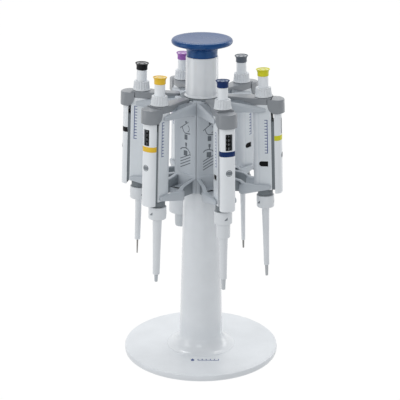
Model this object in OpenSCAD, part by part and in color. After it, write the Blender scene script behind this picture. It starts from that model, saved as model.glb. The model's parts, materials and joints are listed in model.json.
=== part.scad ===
// Rotating stand with six adjustable single-channel pipettes.
// Z is up, the origin is the centre of the base's underside, all sizes are in millimetres.
// Pipette order everywhere: blue, yellow, grey, violet, black, orange, 60 degrees apart.

/* [Base] */
// Diameter of the round base
base_d = 188.8; // [180:0.2:200]
// Height of the base top above the table
base_h = 8; // [8:0.5:10]
// Radius of the rounded rim
rim_round = 2.4; // [1:0.2:2.6]
// Thickness of the anti-slip ring under the base
pad_t = 0.8; // [0.6:0.1:1]

/* [Column] */
// Diameter of the column just above its foot fillet
column_foot_d = 52.4; // [50:0.2:54]
// Diameter of the column under the hub
column_top_d = 43; // [42:0.2:45]
// Radius of the fillet between base and column
foot_fillet = 16; // [12:0.5:18]
// Wall of the hollow column
column_wall = 3; // [2.5:0.1:4]
// Diameter of the steel tie rod
rod_d = 10; // [8:0.5:10]

/* [Carousel] */
// Height of the hub's underside above the table
hub_z = 215; // [213:0.5:216]
// Height of the hub
hub_h = 110; // [110:0.5:111]
// Distance from the axis to the seams between the holders
hub_r = 33.7; // [33:0.1:34.4]
// How far each holder panel bulges beyond a flat face
panel_bulge = 1.6; // [1:0.1:2]
// Diameter of the journal that the hub turns on
journal_d = 30; // [28:1:32]
// Angle of the first holder, seen from above
first_angle = -71.2; // [-90:0.1:-30]
// Distance from the axis to the tips of the upper arms
upper_reach = 77; // [74:0.5:77.5]
// Distance from the axis to the tips of the lower arms
lower_reach = 85.5; // [81:0.5:86]

/* [Neck and knob] */
// Diameter of the neck above the hub
neck_d = 38.4; // [37:0.2:39]
// Height of the neck
neck_h = 46.6; // [45:0.2:48]
// Diameter of the knob's disc
knob_d = 71; // [68:0.5:74]
// Height of the knob above the neck
knob_h = 21; // [20:0.5:22]

/* [Pipettes] */
// Distance from the stand's axis to a pipette's axis, at the top of its body
pipette_r = 72.6; // [72:0.1:73]
// Height of the top of a pipette's body above the table
body_top_z = 327.6; // [327:0.1:328]
// Inward lean of the pipettes
lean = 2.15; // [1.5:0.01:2.3]
// Width of the rear housing
housing_w = 19.5; // [19:0.1:19.7]
// Depth of the rear housing behind the pipette's axis
housing_back = 13; // [12.5:0.1:13.5]
// Depth of the rear housing in front of the pipette's axis
housing_front = 9.6; // [9.4:0.1:9.7]
// Width of the front cover
cover_w = 18; // [17:0.1:18.2]
// Distance from the pipette's axis to the front of the cover
cover_front = 21; // [20.8:0.1:21.2]
// Diameter of the button's stem
stem_d = 12; // [11.6:0.1:12.2]
// Travel of the operating button
button_travel = 12.5; // [10:0.1:12.5]
// Travel of the tip ejector
ejector_travel = 7; // [5:0.5:7]

/* [Nozzles] */
// Diameter of each ejector sleeve below its collar
sleeve_d = [10.6, 9, 6.9, 30, 7.8, 10.8]; // [6:0.1:31]
// Diameter of each ejector sleeve at its lower end
sleeve_end_d = [7.9, 6.4, 4.8, 31, 6.8, 8.2]; // [4.6:0.1:32]
// Depth of each sleeve's lower end below the body's top
sleeve_end = [202.6, 209.1, 206.4, 172.6, 188.6, 203.4]; // [165:0.1:212]
// Diameter of each nozzle's tip seat
nozzle_d = [5.6, 4.2, 2.7, 16, 2.3, 4.6]; // [2.2:0.1:16.5]
// Depth of each nozzle's end below the body's top
nozzle_end = [215.9, 223.1, 217.4, 192.1, 207, 212.9]; // [185:0.1:225]

/* [Hidden] */
$fn = 96;
slack = 0.4;            // gap between parts that move past each other
fit = 0.05;             // radial clearance of a running fit
seam = 0.45;            // half the visible seam between two holder panels
step = 60;              // angle between neighbouring holders
overcut = 1;            // how far a cutting tool runs past a face
neck_z = hub_z + hub_h + slack;
knob_z = neck_z + neck_h;
journal_r = journal_d / 2;
core_r = 26;            // outside of the hub's core, inside of the holder panels
washer_t = 1.5;
face_half = hub_r * sin(30);
face_x = hub_r * cos(30);
face_r = (face_half * face_half + panel_bulge * panel_bulge) / (2 * panel_bulge);
knob_r = knob_d / 2;
rod_r = rod_d / 2;
arm_gap = 10.15;        // half the clear width between the arms of a holder
stem_r = stem_d / 2;
stem_low = 3;           // height of the stem's lower face when the button is up
shaft_r = 2.2;
piston_r = 1;
push_x = 7.9;           // distance of the ejector's push rod from the pipette's axis
push_r = 1.3;
rest_t = 7.8;           // thickness of the finger rest over the housing
rest_w = 21;
spigot_r = 7.7;         // collar under the volume ring, turning in the finger rest
housing_end = 111.2;    // depth of the rear housing's lower edge
band_end = 118.8;       // depth of the dark band's lower edge
collar_top = 119.6;
collar_end = 134.6;
collar_r = 10.4;
core_tube_r = 5;
spine_x = housing_front + 0.3;
cover_back = 13.2;
cover_wall = 1.4;
cover_top = 12;
cover_end = 115.8;
window_w = 8.2;
window_top = 24.8;
window_end = 43.8;
thumb_back = 10.3;
thumb_w = 22;
thumb_front = 24.6;
thumb_end = 18.3;
VIOLET = 3;
BLUE = 0;
BLACK = 4;
CAP_COLORS = ["#233a7d", "#c9cd22", "#5d646c", "#a063b4", "#26282c", "#e2b12e"];

// ---- helpers -------------------------------------------------------------

// points of an arc, for outlines that are revolved or extruded
function arc(cx, cy, r, a0, a1, n = 8) =
    [for (i = [0 : n]) [cx + r * cos(a0 + (a1 - a0) * i / n), cy + r * sin(a0 + (a1 - a0) * i / n)]];

// cylinder between two depths below the body's top
module rod(r, z0, z1, x = 0) {
    translate([x, 0, z0]) cylinder(r = r, h = z1 - z0);
}

// block from x0 to x1 and z0 to z1, centred on y = 0
module block(x0, x1, w, z0, z1) {
    translate([x0, -w / 2, z0]) cube([x1 - x0, w, z1 - z0]);
}

// side outline in x and z, spread over a width in y
module side_prism(points, w) {
    rotate([90, 0, 0]) linear_extrude(w, center = true) polygon(points);
}

module at_station(k) {
    rotate([0, 0, first_angle + step * k]) children();
}

// local frame of a pipette: x outward, z up its axis, origin at the top of its body
module at_pipette(k) {
    at_station(k) translate([pipette_r, 0, body_top_z]) rotate([0, -lean, 0]) children();
}

// ---- stand ---------------------------------------------------------------

module base_plate() {
    color("white") difference() {
        rotate_extrude() polygon(concat(
            [[0, pad_t], [base_d / 2 - rim_round, pad_t]],
            arc(base_d / 2 - rim_round, pad_t + rim_round, rim_round, -90, 0),
            arc(base_d / 2 - rim_round, base_h - rim_round, rim_round, 0, 90),
            [[0, base_h]]
        ));
        difference() {
            rod(86, pad_t - overcut, 5.8);
            rod(14, pad_t - overcut - 1, 6.8);
        }
        rod(rod_r + slack, -overcut, base_h + overcut);
        rod(10, -overcut, 4);
    }
}

module base_weight() {
    color("dimgray") difference() {
        rod(78, 1.4, 5.8);
        rod(20, 0, 7);
    }
}

module base_pad() {
    color("#3a3c40") difference() {
        rod(90.5, 0, pad_t);
        rod(86.5, -overcut, pad_t + overcut);
    }
}

module column() {
    foot_r = column_foot_d / 2;
    top_r = column_top_d / 2;
    color("whitesmoke") difference() {
        union() {
            rotate_extrude() polygon(concat(
                [[0, base_h], [foot_r + foot_fillet, base_h]],
                arc(foot_r + foot_fillet, base_h + foot_fillet, foot_fillet, 270, 180),
                [[top_r, hub_z - washer_t], [0, hub_z - washer_t]]
            ));
            rod(journal_r, hub_z - washer_t - overcut, neck_z);
        }
        rod(rod_r + slack, 0, neck_z + overcut);
        rotate_extrude() polygon([
            [0, base_h - overcut], [foot_r - column_wall, base_h - overcut],
            [top_r - column_wall, hub_z - 16], [0, hub_z - 16]
        ]);
    }
}

module tie_rod() {
    color("silver") {
        rod(rod_r, 4, neck_z + 14);
        rod(9, 1.2, 3.6);
        rod(8, neck_z + 4.2, neck_z + 10);
    }
}

module thrust_washer() {
    color("#8d9094") difference() {
        rod(20.5, hub_z - washer_t, hub_z - 0.1);
        rod(journal_r + slack, hub_z - 2 * washer_t, hub_z + washer_t);
    }
}

module neck() {
    neck_r = neck_d / 2;
    color("whitesmoke") difference() {
        rotate_extrude() polygon([
            [0, neck_z], [neck_r - 0.4, neck_z], [neck_r, neck_z + 0.6],
            [neck_r - 0.5, knob_z], [0, knob_z]
        ]);
        rod(rod_r + slack, neck_z - overcut, neck_z + 6);
        rod(neck_r - 3, neck_z + 4, knob_z + overcut);
    }
}

module knob() {
    edge_r = 3.2;
    edge_z = knob_z + knob_h - edge_r - 0.3;
    color("#24458f") rotate_extrude() polygon(concat(
        [[0, knob_z - 8], [neck_d / 2 - 3.2, knob_z - 8], [neck_d / 2 - 3.2, knob_z],
         [neck_d / 2 - 1.4, knob_z]],
        arc(neck_d / 2 + 4.8, knob_z + 5, 6.2, 180, 120),
        arc(knob_r - edge_r, edge_z, edge_r, -80, 80, 10),
        [[knob_r - 6, knob_z + knob_h], [0, knob_z + knob_h - 0.8]]
    ));
}

// ---- carousel ------------------------------------------------------------

module hub_core() {
    color("gainsboro") difference() {
        rod(core_r - 0.1, hub_z, hub_z + hub_h);
        rod(journal_r + fit, hub_z - overcut, hub_z + hub_h + overcut);
    }
}

// plan of one holder panel grown by a gap, from the seams to the bulged face
module panel_prism(gap, z0, z1) {
    reach = 2 * hub_r;
    half = 30 - asin(seam / hub_r);
    intersection() {
        translate([0, 0, z0]) linear_extrude(z1 - z0) polygon([
            [0, 0], [reach * cos(half), reach * sin(half)], [reach * cos(half), -reach * sin(half)]
        ]);
        translate([face_x + panel_bulge - face_r, 0, z0]) cylinder(r = face_r + gap, h = z1 - z0);
    }
}

// panel with a scooped field for the diagrams and a saddle under the finger rest
module holder_panel() {
    field_low = 235;
    field_top = 310;
    field_deep = 3;
    scoop_r = 36;
    saddle_w = 16;
    saddle_z = hub_z + hub_h - 2.4;
    cradle_web();
    difference() {
        panel_prism(0, hub_z, hub_z + hub_h);
        rod(core_r, hub_z - overcut, hub_z + hub_h + overcut);
        rod(scoop_r, field_low, field_top, face_x + panel_bulge - field_deep + scoop_r);
        block(core_r - overcut, hub_r + overcut, saddle_w, saddle_z, hub_z + hub_h + overcut);
    }
}

// web between the lower arms, hollowed towards the handle
module cradle_web() {
    web_x = 46;
    web_low = hub_z - 1;
    web_h = 7;
    web_half = arm_gap - 0.1;
    hollow_r = 9;
    difference() {
        translate([0, 0, web_low]) linear_extrude(web_h) polygon([
            [face_x, -web_half], [web_x, -web_half], [web_x, web_half], [face_x, web_half]
        ]);
        translate([web_x + 7, 0, web_low - overcut]) cylinder(r = hollow_r, h = web_h + 2 * overcut);
    }
}

// one arm on the +y side, cut from its plan and its side outline
module arm(reach, root_y, waist, tip_y, side) {
    tip_r = 1.6;
    intersection() {
        translate([0, 0, hub_z - 20]) linear_extrude(hub_h + 40) polygon(concat(
            [[face_x, face_half - 0.6], [face_x, root_y], [reach * 0.75, arm_gap], [reach - 1, arm_gap]],
            arc(reach - tip_r, tip_y - tip_r, tip_r, -20, 90),
            [waist, [face_x + 3, face_half - 0.6]]
        ));
        side_prism(side, 4 * hub_r);
    }
}

module each_arm() {
    for (k = [0 : 5]) at_station(k) for (m = [0, 1]) mirror([0, m, 0]) difference() {
        children();
        panel_prism(0.02, hub_z - 30, hub_z + hub_h + 30);
    }
}

module holder_panels() {
    color("gainsboro") for (k = [0 : 5]) at_station(k) holder_panel();
}

module upper_arms() {
    top = hub_z + hub_h;
    color("lightgray") each_arm() arm(upper_reach, 13.2, [54, 14.8], 13, [
        [face_x - 2, top - 0.8], [face_x + 3, top - 1.4], [58, top - 5],
        [upper_reach - 2.5, top - 7.6], [upper_reach + 1, top - 10], [upper_reach + 1, top - 12],
        [upper_reach - 3, top - 13.6], [45, top - 14], [face_x - 2, top - 17]
    ]);
}

// lower arms: a thick tine beside each handle, with a pocket between it and the panel
module lower_arms() {
    low = hub_z - 2;
    pocket_y = 12.4;
    pocket_w = 8;
    color("lightgray") each_arm() difference() {
        arm(lower_reach, arm_gap, [54, 17.6], 13.8, [
            [face_x - 2, low + 1.7], [48, low + 1.5], [50, low - 0.6], [56, low + 0.4],
            [lower_reach - 10, low + 4.4], [lower_reach - 3, low + 5.5],
            [lower_reach + 1, low + 7.5], [lower_reach + 1, low + 9.5],
            [lower_reach - 3, low + 12], [62, low + 12.2], [56, low + 12.6], [53, low + 14],
            [49, low + 16.8], [face_x - 2, low + 21]
        ]);
        translate([0, pocket_y + pocket_w / 2, 0]) side_prism([
            [face_x - 3, low - 1], [48.6, low - 1], [50.5, low + 9], [50.5, low + 13.2],
            [48, low + 15.2], [face_x - 3, low + 19.4]
        ], pocket_w);
    }
}

// ---- pipettes ------------------------------------------------------------

module housing_solid(inset, z0, z1) {
    centre_x = housing_w / 2 - housing_back;
    translate([centre_x, 0, z0]) cylinder(r = housing_w / 2 - inset, h = z1 - z0);
    block(centre_x, housing_front + (inset > 0 ? overcut : 0), housing_w - 2 * inset, z0, z1);
}

// rear half of the handle, open towards the front cover
module housing(k) {
    notch_low = -82.3;
    notch_top = -75.7;
    notch_back = -5.2;
    notch_long = 10.8;
    notch_deep = 0.8;
    color("whitesmoke") at_pipette(k) difference() {
        housing_solid(0, -housing_end, -rest_t);
        housing_solid(1.5, -housing_end - overcut, -rest_t + overcut);
        translate([notch_back, -housing_w, notch_low])
            cube([notch_long, housing_w / 2 + notch_deep, notch_top - notch_low]);
    }
}

module cover_prism(inset, z0, z1) {
    round_r = 12.5;
    intersection() {
        translate([cover_front - round_r, 0, z0]) cylinder(r = round_r - inset, h = z1 - z0);
        block(cover_back - (inset > 0 ? overcut : 0), cover_front + overcut,
              cover_w - 2 * inset, z0, z1);
    }
}

// front cover of the handle with the opening for the volume display
module cover(k) {
    color("white") at_pipette(k) difference() {
        cover_prism(0, -cover_end, -cover_top);
        cover_prism(cover_wall, -cover_end + cover_wall, -cover_top - cover_wall);
        block(cover_front - 5, cover_front + overcut, window_w, -window_end, -window_top);
    }
}

// finger rest: cap of the handle with the hook that hangs on the holder
module rest(k) {
    hook_x = -45;
    step_x = 5.4;
    front_w = 19.4;
    color("#8c9096") at_pipette(k) difference() {
        union() {
            intersection() {
                rod(rest_w / 2, -rest_t, 0);
                block(-rest_w, step_x, rest_w, -rest_t, 0);
            }
            block(0, step_x, rest_w, -rest_t, 0);
            block(0, housing_front, front_w, -rest_t, 0);
            intersection() {
                side_prism([
                    [0, 0], [-12, 0], [hook_x, 1.2], [hook_x - 1.4, 0.2], [hook_x - 1.4, -1.6],
                    [hook_x, -2.4], [-24, -3.4], [-16, -6.4], [-14, -rest_t], [0, -rest_t]
                ], 30);
                translate([0, 0, -rest_t - overcut]) linear_extrude(rest_t + 4) polygon(concat(
                    [[0, 9.4], [-14, 9.2], [-30, 6.6]],
                    arc(hook_x + 5, 0, 6.4, 90, 270, 12),
                    [[-30, -6.6], [-14, -9.2], [0, -9.4]]
                ));
            }
        }
        rod(stem_r + 0.6, -rest_t - overcut, overcut);
        rod(spigot_r + fit, -5, overcut);
    }
}

// inner frame, digit wheels and nozzle in one line
module core(k) {
    nozzle_r = nozzle_d[k] / 2;
    inner_r = k == BLACK ? 1.75 : nozzle_r - 0.25;
    bore_end = collar_end - 3.5;
    color("#5a5e64") at_pipette(k) difference() {
        union() {
            rod(core_tube_r, -bore_end - 1, stem_low - button_travel - slack);
            rod(8.9, -band_end, -housing_end);
            if (k == VIOLET) {
                rod(core_tube_r, -147, -bore_end);
                rod(12.4, -164, -146);
            }
            // seat of the tip below the sleeve, on a thinner or thicker tube inside it
            rod(inner_r, -sleeve_end[k] - (k == BLACK ? 0 : overcut), k == VIOLET ? -163 : -bore_end);
            rod(nozzle_r, -nozzle_end[k], -sleeve_end[k]);
            // spine behind the front cover, tied to the tube by two webs
            block(spine_x, cover_back, 15, -112, -28);
            for (m = [0, 1]) mirror([0, m, 0]) translate([3, 2.8, -112]) cube([8, 1.2, 84]);
            counter();
        }
        rod(shaft_r + fit, -28, overcut);
        rod(3.8, -112, -26);
        rod(piston_r + fit, -bore_end, -111);
        rod(0.5, -nozzle_end[k] - overcut, -bore_end + overcut);
        rod(push_r + slack, -band_end - overcut, -housing_end + overcut, push_x);
    }
}

// four digit wheels on a spindle, behind the display window
module counter() {
    wheel_x = 16.6;
    wheel_r = 3.2;
    wheels = 4;
    pitch = (window_end - window_top) / wheels;
    rod(1, -window_end - 2.5, -window_top + 2.5, wheel_x);
    for (i = [0 : wheels - 1]) {
        rod(wheel_r, -window_end + pitch * i + 0.15, -window_end + pitch * (i + 1) - 0.15, wheel_x);
    }
    block(cover_back - 0.5, wheel_x + 1, 6, -window_end - 3, -window_end - 1.5);
    block(cover_back - 0.5, wheel_x + 1, 6, -window_top + 1.5, -window_top + 3);
}

// operating button: dished cap, stem, shaft and piston
module button(k) {
    stem_top = 24.6;
    cap_top = 32.5;
    body_r = 6.6;
    flare_r = 8.1;
    color(CAP_COLORS[k]) at_pipette(k) {
        rotate_extrude() polygon([
            [0, stem_top], [body_r, stem_top], [body_r, cap_top - 2.6], [flare_r, cap_top - 0.9],
            [flare_r, cap_top], [flare_r - 0.8, cap_top], [flare_r - 1.8, cap_top - 0.9],
            [0, cap_top - 0.9]
        ]);
    }
    color("white") at_pipette(k) {
        rod(stem_r, stem_low, stem_top);
        rod(shaft_r, -95, stem_low + overcut);
        rod(piston_r, -117, -94);
    }
}

// knurled ring that sets the volume
module ring(k) {
    ribs = 18;
    low_r = 10.3;
    top_r = 9;
    high = 11;
    groove_r = 0.9;
    color("white") at_pipette(k) difference() {
        union() {
            translate([0, 0, slack]) cylinder(r1 = low_r, r2 = top_r, h = high - slack);
            rod(spigot_r, -4.6, slack + 0.1);
        }
        rod(stem_r + slack, -5 - overcut, high + overcut);
        for (i = [0 : ribs - 1]) rotate([0, 0, i * 360 / ribs]) {
            translate([low_r + 0.15, 0, 1.6]) rotate([0, -7, 0])
                cylinder(r = groove_r, h = high, $fn = 16);
        }
    }
}

// ejector: thumb hood over the front cover, with the push rod inside the handle
module ejector(k) {
    wall = 1.4;
    wing_wall = 0.9;
    wing_x = 6;
    round_r = 12;
    round_x = thumb_front - round_r;
    inside_w = thumb_w - 2 * wing_wall;
    color("#8c9096") at_pipette(k) {
        difference() {
            intersection() {
                union() {
                    block(wing_x, round_x, thumb_w, -thumb_end, 0);
                    rod(round_r, -thumb_end, 0, round_x);
                }
                side_prism([
                    [wing_x, -1.5], [thumb_back, -1.5], [thumb_front + overcut, -2.5],
                    [thumb_front + overcut, -thumb_end], [11, -thumb_end], [8.6, -15.8],
                    [wing_x + 0.7, -12], [wing_x, -8]
                ], thumb_w);
            }
            intersection() {
                rod(round_r - wall, -thumb_end - overcut, 0, round_x);
                block(thumb_back + wall, thumb_front, inside_w, -thumb_end - overcut, -4.4);
            }
            block(wing_x - overcut, thumb_back, inside_w, -thumb_end - overcut, overcut);
        }
        block(push_x, thumb_back + wall / 2, 2 * push_r, -18, -12);
        rod(push_r, -collar_top, -12, push_x);
    }
}

// ejector sleeve around the nozzle, with its locking collar
module sleeve(k) {
    bore_r = k == BLACK ? 1.75 + slack : nozzle_d[k] / 2 + (k == VIOLET ? 6.3 - slack : slack);
    floor_t = 2;
    low = k == VIOLET ? collar_end + floor_t : collar_end;
    second_r = 7.9;
    second_end = 151.7;
    shaft_top = k == BLUE ? second_end : low;
    edge = 1.6;
    color("whitesmoke") at_pipette(k) difference() {
        union() {
            rotate_extrude() polygon(concat(
                [[0, -collar_top], [collar_r - 0.5, -collar_top], [collar_r, -collar_top - 0.5]],
                arc(collar_r - edge, -collar_end + edge, edge, 0, -90),
                [[0, -collar_end]]
            ));
            if (k == BLUE) rod(second_r, -second_end, -collar_end + overcut);
            if (k == VIOLET) {
                rod(sleeve_d[k] / 2, -low, -collar_end);
            }
            translate([0, 0, -sleeve_end[k]]) cylinder(
                r1 = sleeve_end_d[k] / 2, r2 = sleeve_d[k] / 2, h = sleeve_end[k] - shaft_top
            );
            rod(sleeve_end_d[k] / 2 - 0.2, -shaft_top - overcut, -collar_end + overcut);
        }
        rod(core_tube_r + 1, -collar_end + floor_t, -collar_top + overcut);
        if (k == VIOLET) {
            rod(core_tube_r + 1, -low - overcut, -collar_top + overcut);
            rod(bore_r, -sleeve_end[k] - overcut, -low);
        } else {
            rod(bore_r, -sleeve_end[k] - overcut, -collar_top);
        }
    }
}

// ---- assembly ------------------------------------------------------------

base_plate();
base_weight();
base_pad();
column();
tie_rod();
thrust_washer();
hub_core();
holder_panels();
upper_arms();
lower_arms();
neck();
knob();
housing(0);  // housing_blue
housing(1);  // housing_yellow
housing(2);  // housing_grey
housing(3);  // housing_violet
housing(4);  // housing_black
housing(5);  // housing_orange
cover(0);  // cover_blue
cover(1);  // cover_yellow
cover(2);  // cover_grey
cover(3);  // cover_violet
cover(4);  // cover_black
cover(5);  // cover_orange
rest(0);  // rest_blue
rest(1);  // rest_yellow
rest(2);  // rest_grey
rest(3);  // rest_violet
rest(4);  // rest_black
rest(5);  // rest_orange
core(0);  // core_blue
core(1);  // core_yellow
core(2);  // core_grey
core(3);  // core_violet
core(4);  // core_black
core(5);  // core_orange
button(0);  // button_blue
button(1);  // button_yellow
button(2);  // button_grey
button(3);  // button_violet
button(4);  // button_black
button(5);  // button_orange
ring(0);  // ring_blue
ring(1);  // ring_yellow
ring(2);  // ring_grey
ring(3);  // ring_violet
ring(4);  // ring_black
ring(5);  // ring_orange
ejector(0);  // ejector_blue
ejector(1);  // ejector_yellow
ejector(2);  // ejector_grey
ejector(3);  // ejector_violet
ejector(4);  // ejector_black
ejector(5);  // ejector_orange
sleeve(0);  // sleeve_blue
sleeve(1);  // sleeve_yellow
sleeve(2);  // sleeve_grey
sleeve(3);  // sleeve_violet
sleeve(4);  // sleeve_black
sleeve(5);  // sleeve_orange
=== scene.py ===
"""Pipette set: six adjustable pipettes hanging on a rotating stand.

Every piece is built in millimetres, in the local frame of the stand or of one pipette, and then
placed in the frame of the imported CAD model, whose boxes and joints give all positions.
"""
import json
import math

import bpy
import bmesh
from mathutils import Matrix, Vector


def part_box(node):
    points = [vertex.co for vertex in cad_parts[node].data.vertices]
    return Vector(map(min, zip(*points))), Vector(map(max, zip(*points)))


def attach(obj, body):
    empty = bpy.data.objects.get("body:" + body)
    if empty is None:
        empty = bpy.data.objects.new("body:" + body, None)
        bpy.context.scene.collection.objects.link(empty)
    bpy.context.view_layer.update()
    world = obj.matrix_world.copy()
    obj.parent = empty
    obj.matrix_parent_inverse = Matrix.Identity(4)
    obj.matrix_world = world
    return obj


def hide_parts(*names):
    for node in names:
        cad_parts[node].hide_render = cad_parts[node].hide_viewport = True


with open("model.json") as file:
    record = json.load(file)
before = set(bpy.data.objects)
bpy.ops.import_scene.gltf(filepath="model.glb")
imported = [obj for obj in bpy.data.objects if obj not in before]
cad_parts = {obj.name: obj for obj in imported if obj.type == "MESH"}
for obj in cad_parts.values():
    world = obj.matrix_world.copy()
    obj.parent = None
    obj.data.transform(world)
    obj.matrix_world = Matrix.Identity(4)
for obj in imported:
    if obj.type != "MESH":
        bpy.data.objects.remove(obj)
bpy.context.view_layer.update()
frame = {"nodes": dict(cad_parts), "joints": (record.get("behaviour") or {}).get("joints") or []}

MM = 0.001
COLOURS = ("blue", "yellow", "grey", "violet", "black", "orange")
TAU = 2 * math.pi


def add_object(name, data):
    piece = bpy.data.objects.new(name, data)
    bpy.context.scene.collection.objects.link(piece)
    return piece


# ---- camera --------------------------------------------------------------

def make_camera():
    distance, height, pitch, roll = 1.508, 0.727, 19.0, 0.23
    data = bpy.data.cameras.new("camera")
    data.sensor_width = 36
    data.lens = 120
    data.shift_x = -0.0038
    data.shift_y = -0.025
    camera = add_object("camera", data)
    camera.location = (0, -distance, height)
    tilt = Matrix.Rotation(math.radians(90 - pitch), 3, "X")
    camera.rotation_euler = (tilt @ Matrix.Rotation(math.radians(roll), 3, "Z")).to_euler()
    bpy.context.scene.camera = camera


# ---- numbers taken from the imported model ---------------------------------

def box_mm(node):
    low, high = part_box(node)
    return low / MM, high / MM


def joint(name):
    return next(j for j in frame["joints"] if j["name"] == name)


def pipette_frame(colour):
    """Matrix from a pipette's own millimetres to the row frame.

    x points outward and z up the pipette's axis, from the top of its body.
    """
    ring = joint("set_volume_" + colour)
    up = Vector(ring["axis"]).normalized()
    out = Vector(joint("lift_off_" + colour)["axis"])
    out = (out - out.dot(up) * up).normalized()
    origin = Vector(ring["pos_m"]) - up * RING_PIVOT * MM
    turn = Matrix((out, up.cross(out), up)).transposed().to_4x4()
    return Matrix.Translation(origin) @ turn @ Matrix.Scale(MM, 4)


def holder_frame(colour):
    """Matrix from a holder's millimetres to the row frame: x outward from the stand's axis."""
    out = Vector(joint("lift_off_" + colour)["axis"])
    return Matrix.Rotation(math.atan2(out.y, out.x), 4, "Z") @ Matrix.Scale(MM, 4)


RING_PIVOT = 6          # height of the volume ring's joint above the top of the pipette's body
STAND = Matrix.Scale(MM, 4)
FACE_OUT = Matrix(((0, 0, 1, 0), (1, 0, 0, 0), (0, 1, 0, 0), (0, 0, 0, 1)))     # x, y, z to y, z, x


# ---- outlines ------------------------------------------------------------

def arc(cx, cy, r, a0, a1, n=8):
    """Points of an arc in the plane, angles in degrees."""
    return [(cx + r * math.cos(math.radians(a0 + (a1 - a0) * i / n)),
             cy + r * math.sin(math.radians(a0 + (a1 - a0) * i / n))) for i in range(n + 1)]


def rounded(corners, closed=False, steps=5):
    """Turns (x, y) or (x, y, radius) corners into an outline whose corners are arcs."""
    points = []
    count = len(corners)
    for i, corner in enumerate(corners):
        p = Vector(corner[:2])
        radius = corner[2] if len(corner) > 2 else 0
        if radius <= 0 or (not closed and i in (0, count - 1)):
            points.append(tuple(p))
            continue
        a = Vector(corners[i - 1][:2]) - p
        b = Vector(corners[(i + 1) % count][:2]) - p
        half = a.angle(b) / 2
        run = min(radius / math.tan(half), 0.48 * a.length, 0.48 * b.length)
        radius = run * math.tan(half)
        a.normalize()
        b.normalize()
        centre = p + (a + b).normalized() * radius / math.sin(half)
        start, end = p + a * run - centre, p + b * run - centre
        turn = start.angle_signed(end)
        for k in range(steps + 1):
            t = -turn * k / steps
            c, s = math.cos(t), math.sin(t)
            points.append((centre.x + start.x * c - start.y * s, centre.y + start.x * s + start.y * c))
    return points


def inset(outline, d):
    """A closed outline moved inwards by d, for outlines that run anticlockwise."""
    result = []
    count = len(outline)
    for i in range(count):
        p = Vector(outline[i])
        a = p - Vector(outline[i - 1])
        b = Vector(outline[(i + 1) % count]) - p
        if a.length < 1e-6:
            a = b
        if b.length < 1e-6:
            b = a
        a.normalize()
        b.normalize()
        na, nb = Vector((-a.y, a.x)), Vector((-b.y, b.x))
        n = na + nb
        n = n / max(n.length_squared / 2, 0.5)
        result.append((p.x + n.x * d, p.y + n.y * d))
    return result


# ---- meshes --------------------------------------------------------------

def soften(work, angle):
    """Smooth shading, with a sharp edge where two faces meet at the angle or more."""
    for edge in work.edges:
        edge.smooth = len(edge.link_faces) == 2 and edge.calc_face_angle(0) < math.radians(angle)
    for face in work.faces:
        face.smooth = True


def finish_mesh(name, verts, faces, matrix=Matrix(), angle=38):
    """A smooth-shaded object with its mesh in the row frame and outward normals."""
    mesh = bpy.data.meshes.new(name)
    mesh.from_pydata([tuple(v) for v in verts], [], faces)
    work = bmesh.new()
    work.from_mesh(mesh)
    bmesh.ops.remove_doubles(work, verts=work.verts, dist=1e-5)
    bmesh.ops.recalc_face_normals(work, faces=work.faces)
    work.transform(matrix)
    if matrix.determinant() < 0:
        bmesh.ops.reverse_faces(work, faces=work.faces)
    soften(work, angle)
    work.to_mesh(mesh)
    work.free()
    return add_object(name, mesh)


def skin(name, rings, angle=38):
    """Faces between rings of equally many points, closed by two caps."""
    count = len(rings[0])
    verts = [p for ring in rings for p in ring]
    faces = []
    for a, b in zip(range(len(rings) - 1), range(1, len(rings))):
        for i in range(count):
            j = (i + 1) % count
            faces.append((a * count + i, a * count + j, b * count + j, b * count + i))
    faces.append(tuple(range(count)))
    faces.append(tuple((len(rings) - 1) * count + i for i in range(count)))
    return finish_mesh(name, verts, faces, angle=angle)


def lathe(name, outline, matrix=Matrix(), steps=72, loop=False, shape=None, angle=38):
    """Outline of (radius, height) turned about the z axis; shape(angle, height) may vary the radius."""
    verts, rows = [], []
    for r, z in outline:
        if r < 1e-6:
            rows.append([len(verts)])
            verts.append((0, 0, z))
            continue
        rows.append(list(range(len(verts), len(verts) + steps)))
        for i in range(steps):
            a = TAU * i / steps
            rr = r + (shape(a, r, z) if shape else 0)
            verts.append((rr * math.cos(a), rr * math.sin(a), z))
    faces = []
    following = rows[1:] + ([rows[0]] if loop else [])
    for a, b in zip(rows, following):
        for i in range(steps):
            j = (i + 1) % steps
            if len(a) == 1 and len(b) > 1:
                faces.append((a[0], b[i], b[j]))
            elif len(b) == 1 and len(a) > 1:
                faces.append((a[i], a[j], b[0]))
            elif len(a) > 1:
                faces.append((a[i], a[j], b[j], b[i]))
    return finish_mesh(name, verts, faces, matrix, angle)


def slab(name, outline, z0, z1, edge=0.6, top_edge=None, steps=4, angle=38):
    """Anticlockwise outline given a height, with rounded lower and upper edges."""
    top_edge = edge if top_edge is None else top_edge
    rings = []
    for k in range(steps + 1):
        a = math.radians(90 * k / steps)
        ring = inset(outline, edge * (1 - math.sin(a)))
        rings.append([(x, y, z0 + edge * (1 - math.cos(a))) for x, y in ring])
    for k in range(steps + 1):
        a = math.radians(90 * k / steps)
        ring = inset(outline, top_edge * (1 - math.cos(a)))
        rings.append([(x, y, z1 - top_edge * (1 - math.sin(a))) for x, y in ring])
    return skin(name, rings, angle)


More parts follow.
